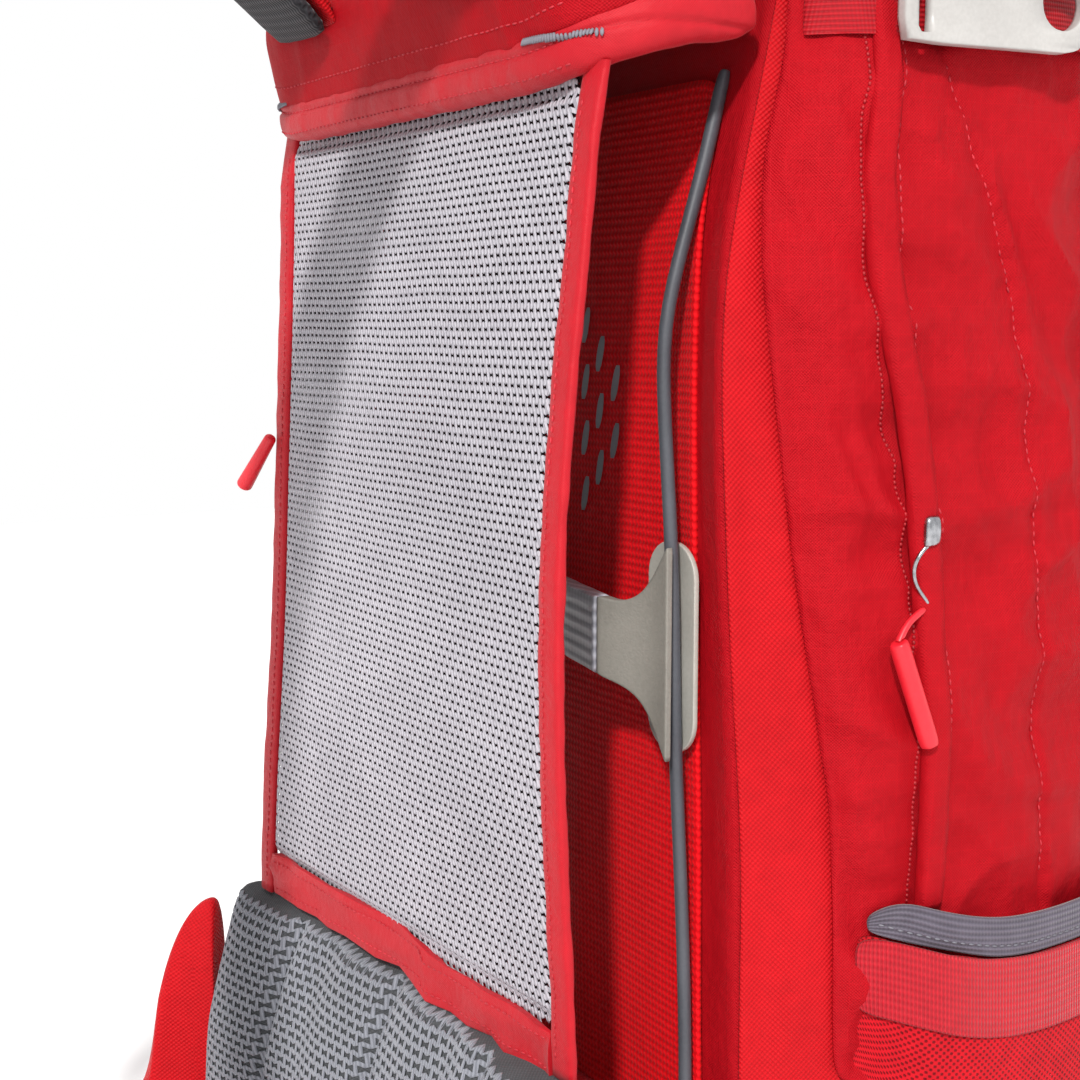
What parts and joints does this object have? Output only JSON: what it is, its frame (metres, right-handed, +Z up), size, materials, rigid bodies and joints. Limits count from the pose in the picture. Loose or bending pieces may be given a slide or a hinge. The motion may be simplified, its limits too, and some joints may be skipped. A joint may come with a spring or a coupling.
{
  "type": "hiking backpack",
  "caption": "Framed hiking backpack with a tensioned mesh back, spring wires, side pockets, lid, shoulder straps and a closed hip belt.",
  "frame": {"origin": "middle of the bag's flat base, on the surface that it stands on", "axes": "+Z up, -Y towards the wearer and the harness, +X to the wearer's left"},
  "size_m": [0.356, 0.5126, 0.648],
  "materials": {
    "ripstop": "thin ripstop cloth, slight sheen",
    "pack_cloth": "coarse woven cloth",
    "back_cloth": "coarse mesh cloth",
    "pocket_mesh": "red stretch mesh",
    "grey_elastic": "ribbed elastic",
    "red_webbing": "ribbed webbing",
    "red_binding": "folded cloth binding, stitched",
    "grey_mesh": "open knitted mesh",
    "pad_mesh": "spacer mesh over foam",
    "dark_lining": "dark cloth",
    "sheathed_wire": "spring wire in a dark sheath",
    "grey_composite": "grained coated sheet",
    "pale_plastic": "moulded plastic, satin",
    "steel": "polished wire",
    "pull_rubber": "soft moulded rubber"
  },
  "bodies": {
    "root": {"main_bag": "ripstop", "base_panel": "pack_cloth", "back_panel": "back_cloth", "side_gusset_left": "pack_cloth", "side_gusset_right": "pack_cloth", "side_pocket_left": "ripstop", "side_pocket_right": "ripstop", "zip_flap_left": "ripstop", "zip_flap_right": "ripstop", "zip_slider_left": "steel", "zip_slider_right": "steel", "pull_cord_left": "pull_rubber", "pull_cord_right": "pull_rubber", "pull_tube_left": "pull_rubber", "pull_tube_right": "pull_rubber", "bottle_pocket_left": "pocket_mesh", "bottle_pocket_right": "pocket_mesh", "pocket_binding_left": "grey_elastic", "pocket_binding_right": "grey_elastic", "pocket_tape_left": "red_webbing", "pocket_tape_right": "red_webbing", "lower_strap_left": "red_webbing", "lower_strap_right": "red_webbing", "upper_strap_left": "red_webbing", "upper_strap_right": "red_webbing", "strap_buckle_left": "pale_plastic", "strap_buckle_right": "pale_plastic", "top_yoke": "ripstop", "yoke_hem": "red_binding", "mesh_panel": "grey_mesh", "mesh_binding_left": "red_binding", "mesh_binding_right": "red_binding", "mesh_ribbon": "red_binding", "frame_wire_left": "sheathed_wire", "frame_wire_right": "sheathed_wire", "spreader_bar": "grey_composite", "wing_clip_left": "grey_composite", "wing_clip_right": "grey_composite", "back_clip_left": "pale_plastic", "back_clip_right": "pale_plastic", "loin_pad": "pad_mesh", "loin_shelf": "pack_cloth", "hip_fin_left": "pad_mesh", "hip_fin_right": "pad_mesh", "belt_webbing_left": "red_webbing", "belt_webbing_right": "red_webbing", "belt_buckle": "pale_plastic", "shoulder_strap_left": "pack_cloth", "shoulder_strap_right": "pack_cloth", "strap_lining_left": "dark_lining", "strap_lining_right": "dark_lining", "strap_webbing_left": "red_webbing", "strap_webbing_right": "red_webbing", "ladder_lock_left": "pale_plastic", "ladder_lock_right": "pale_plastic", "lid": "ripstop", "lid_strap": "red_webbing", "lid_buckle": "pale_plastic", "haul_loop": "red_webbing"}
  },
  "joints": []
}
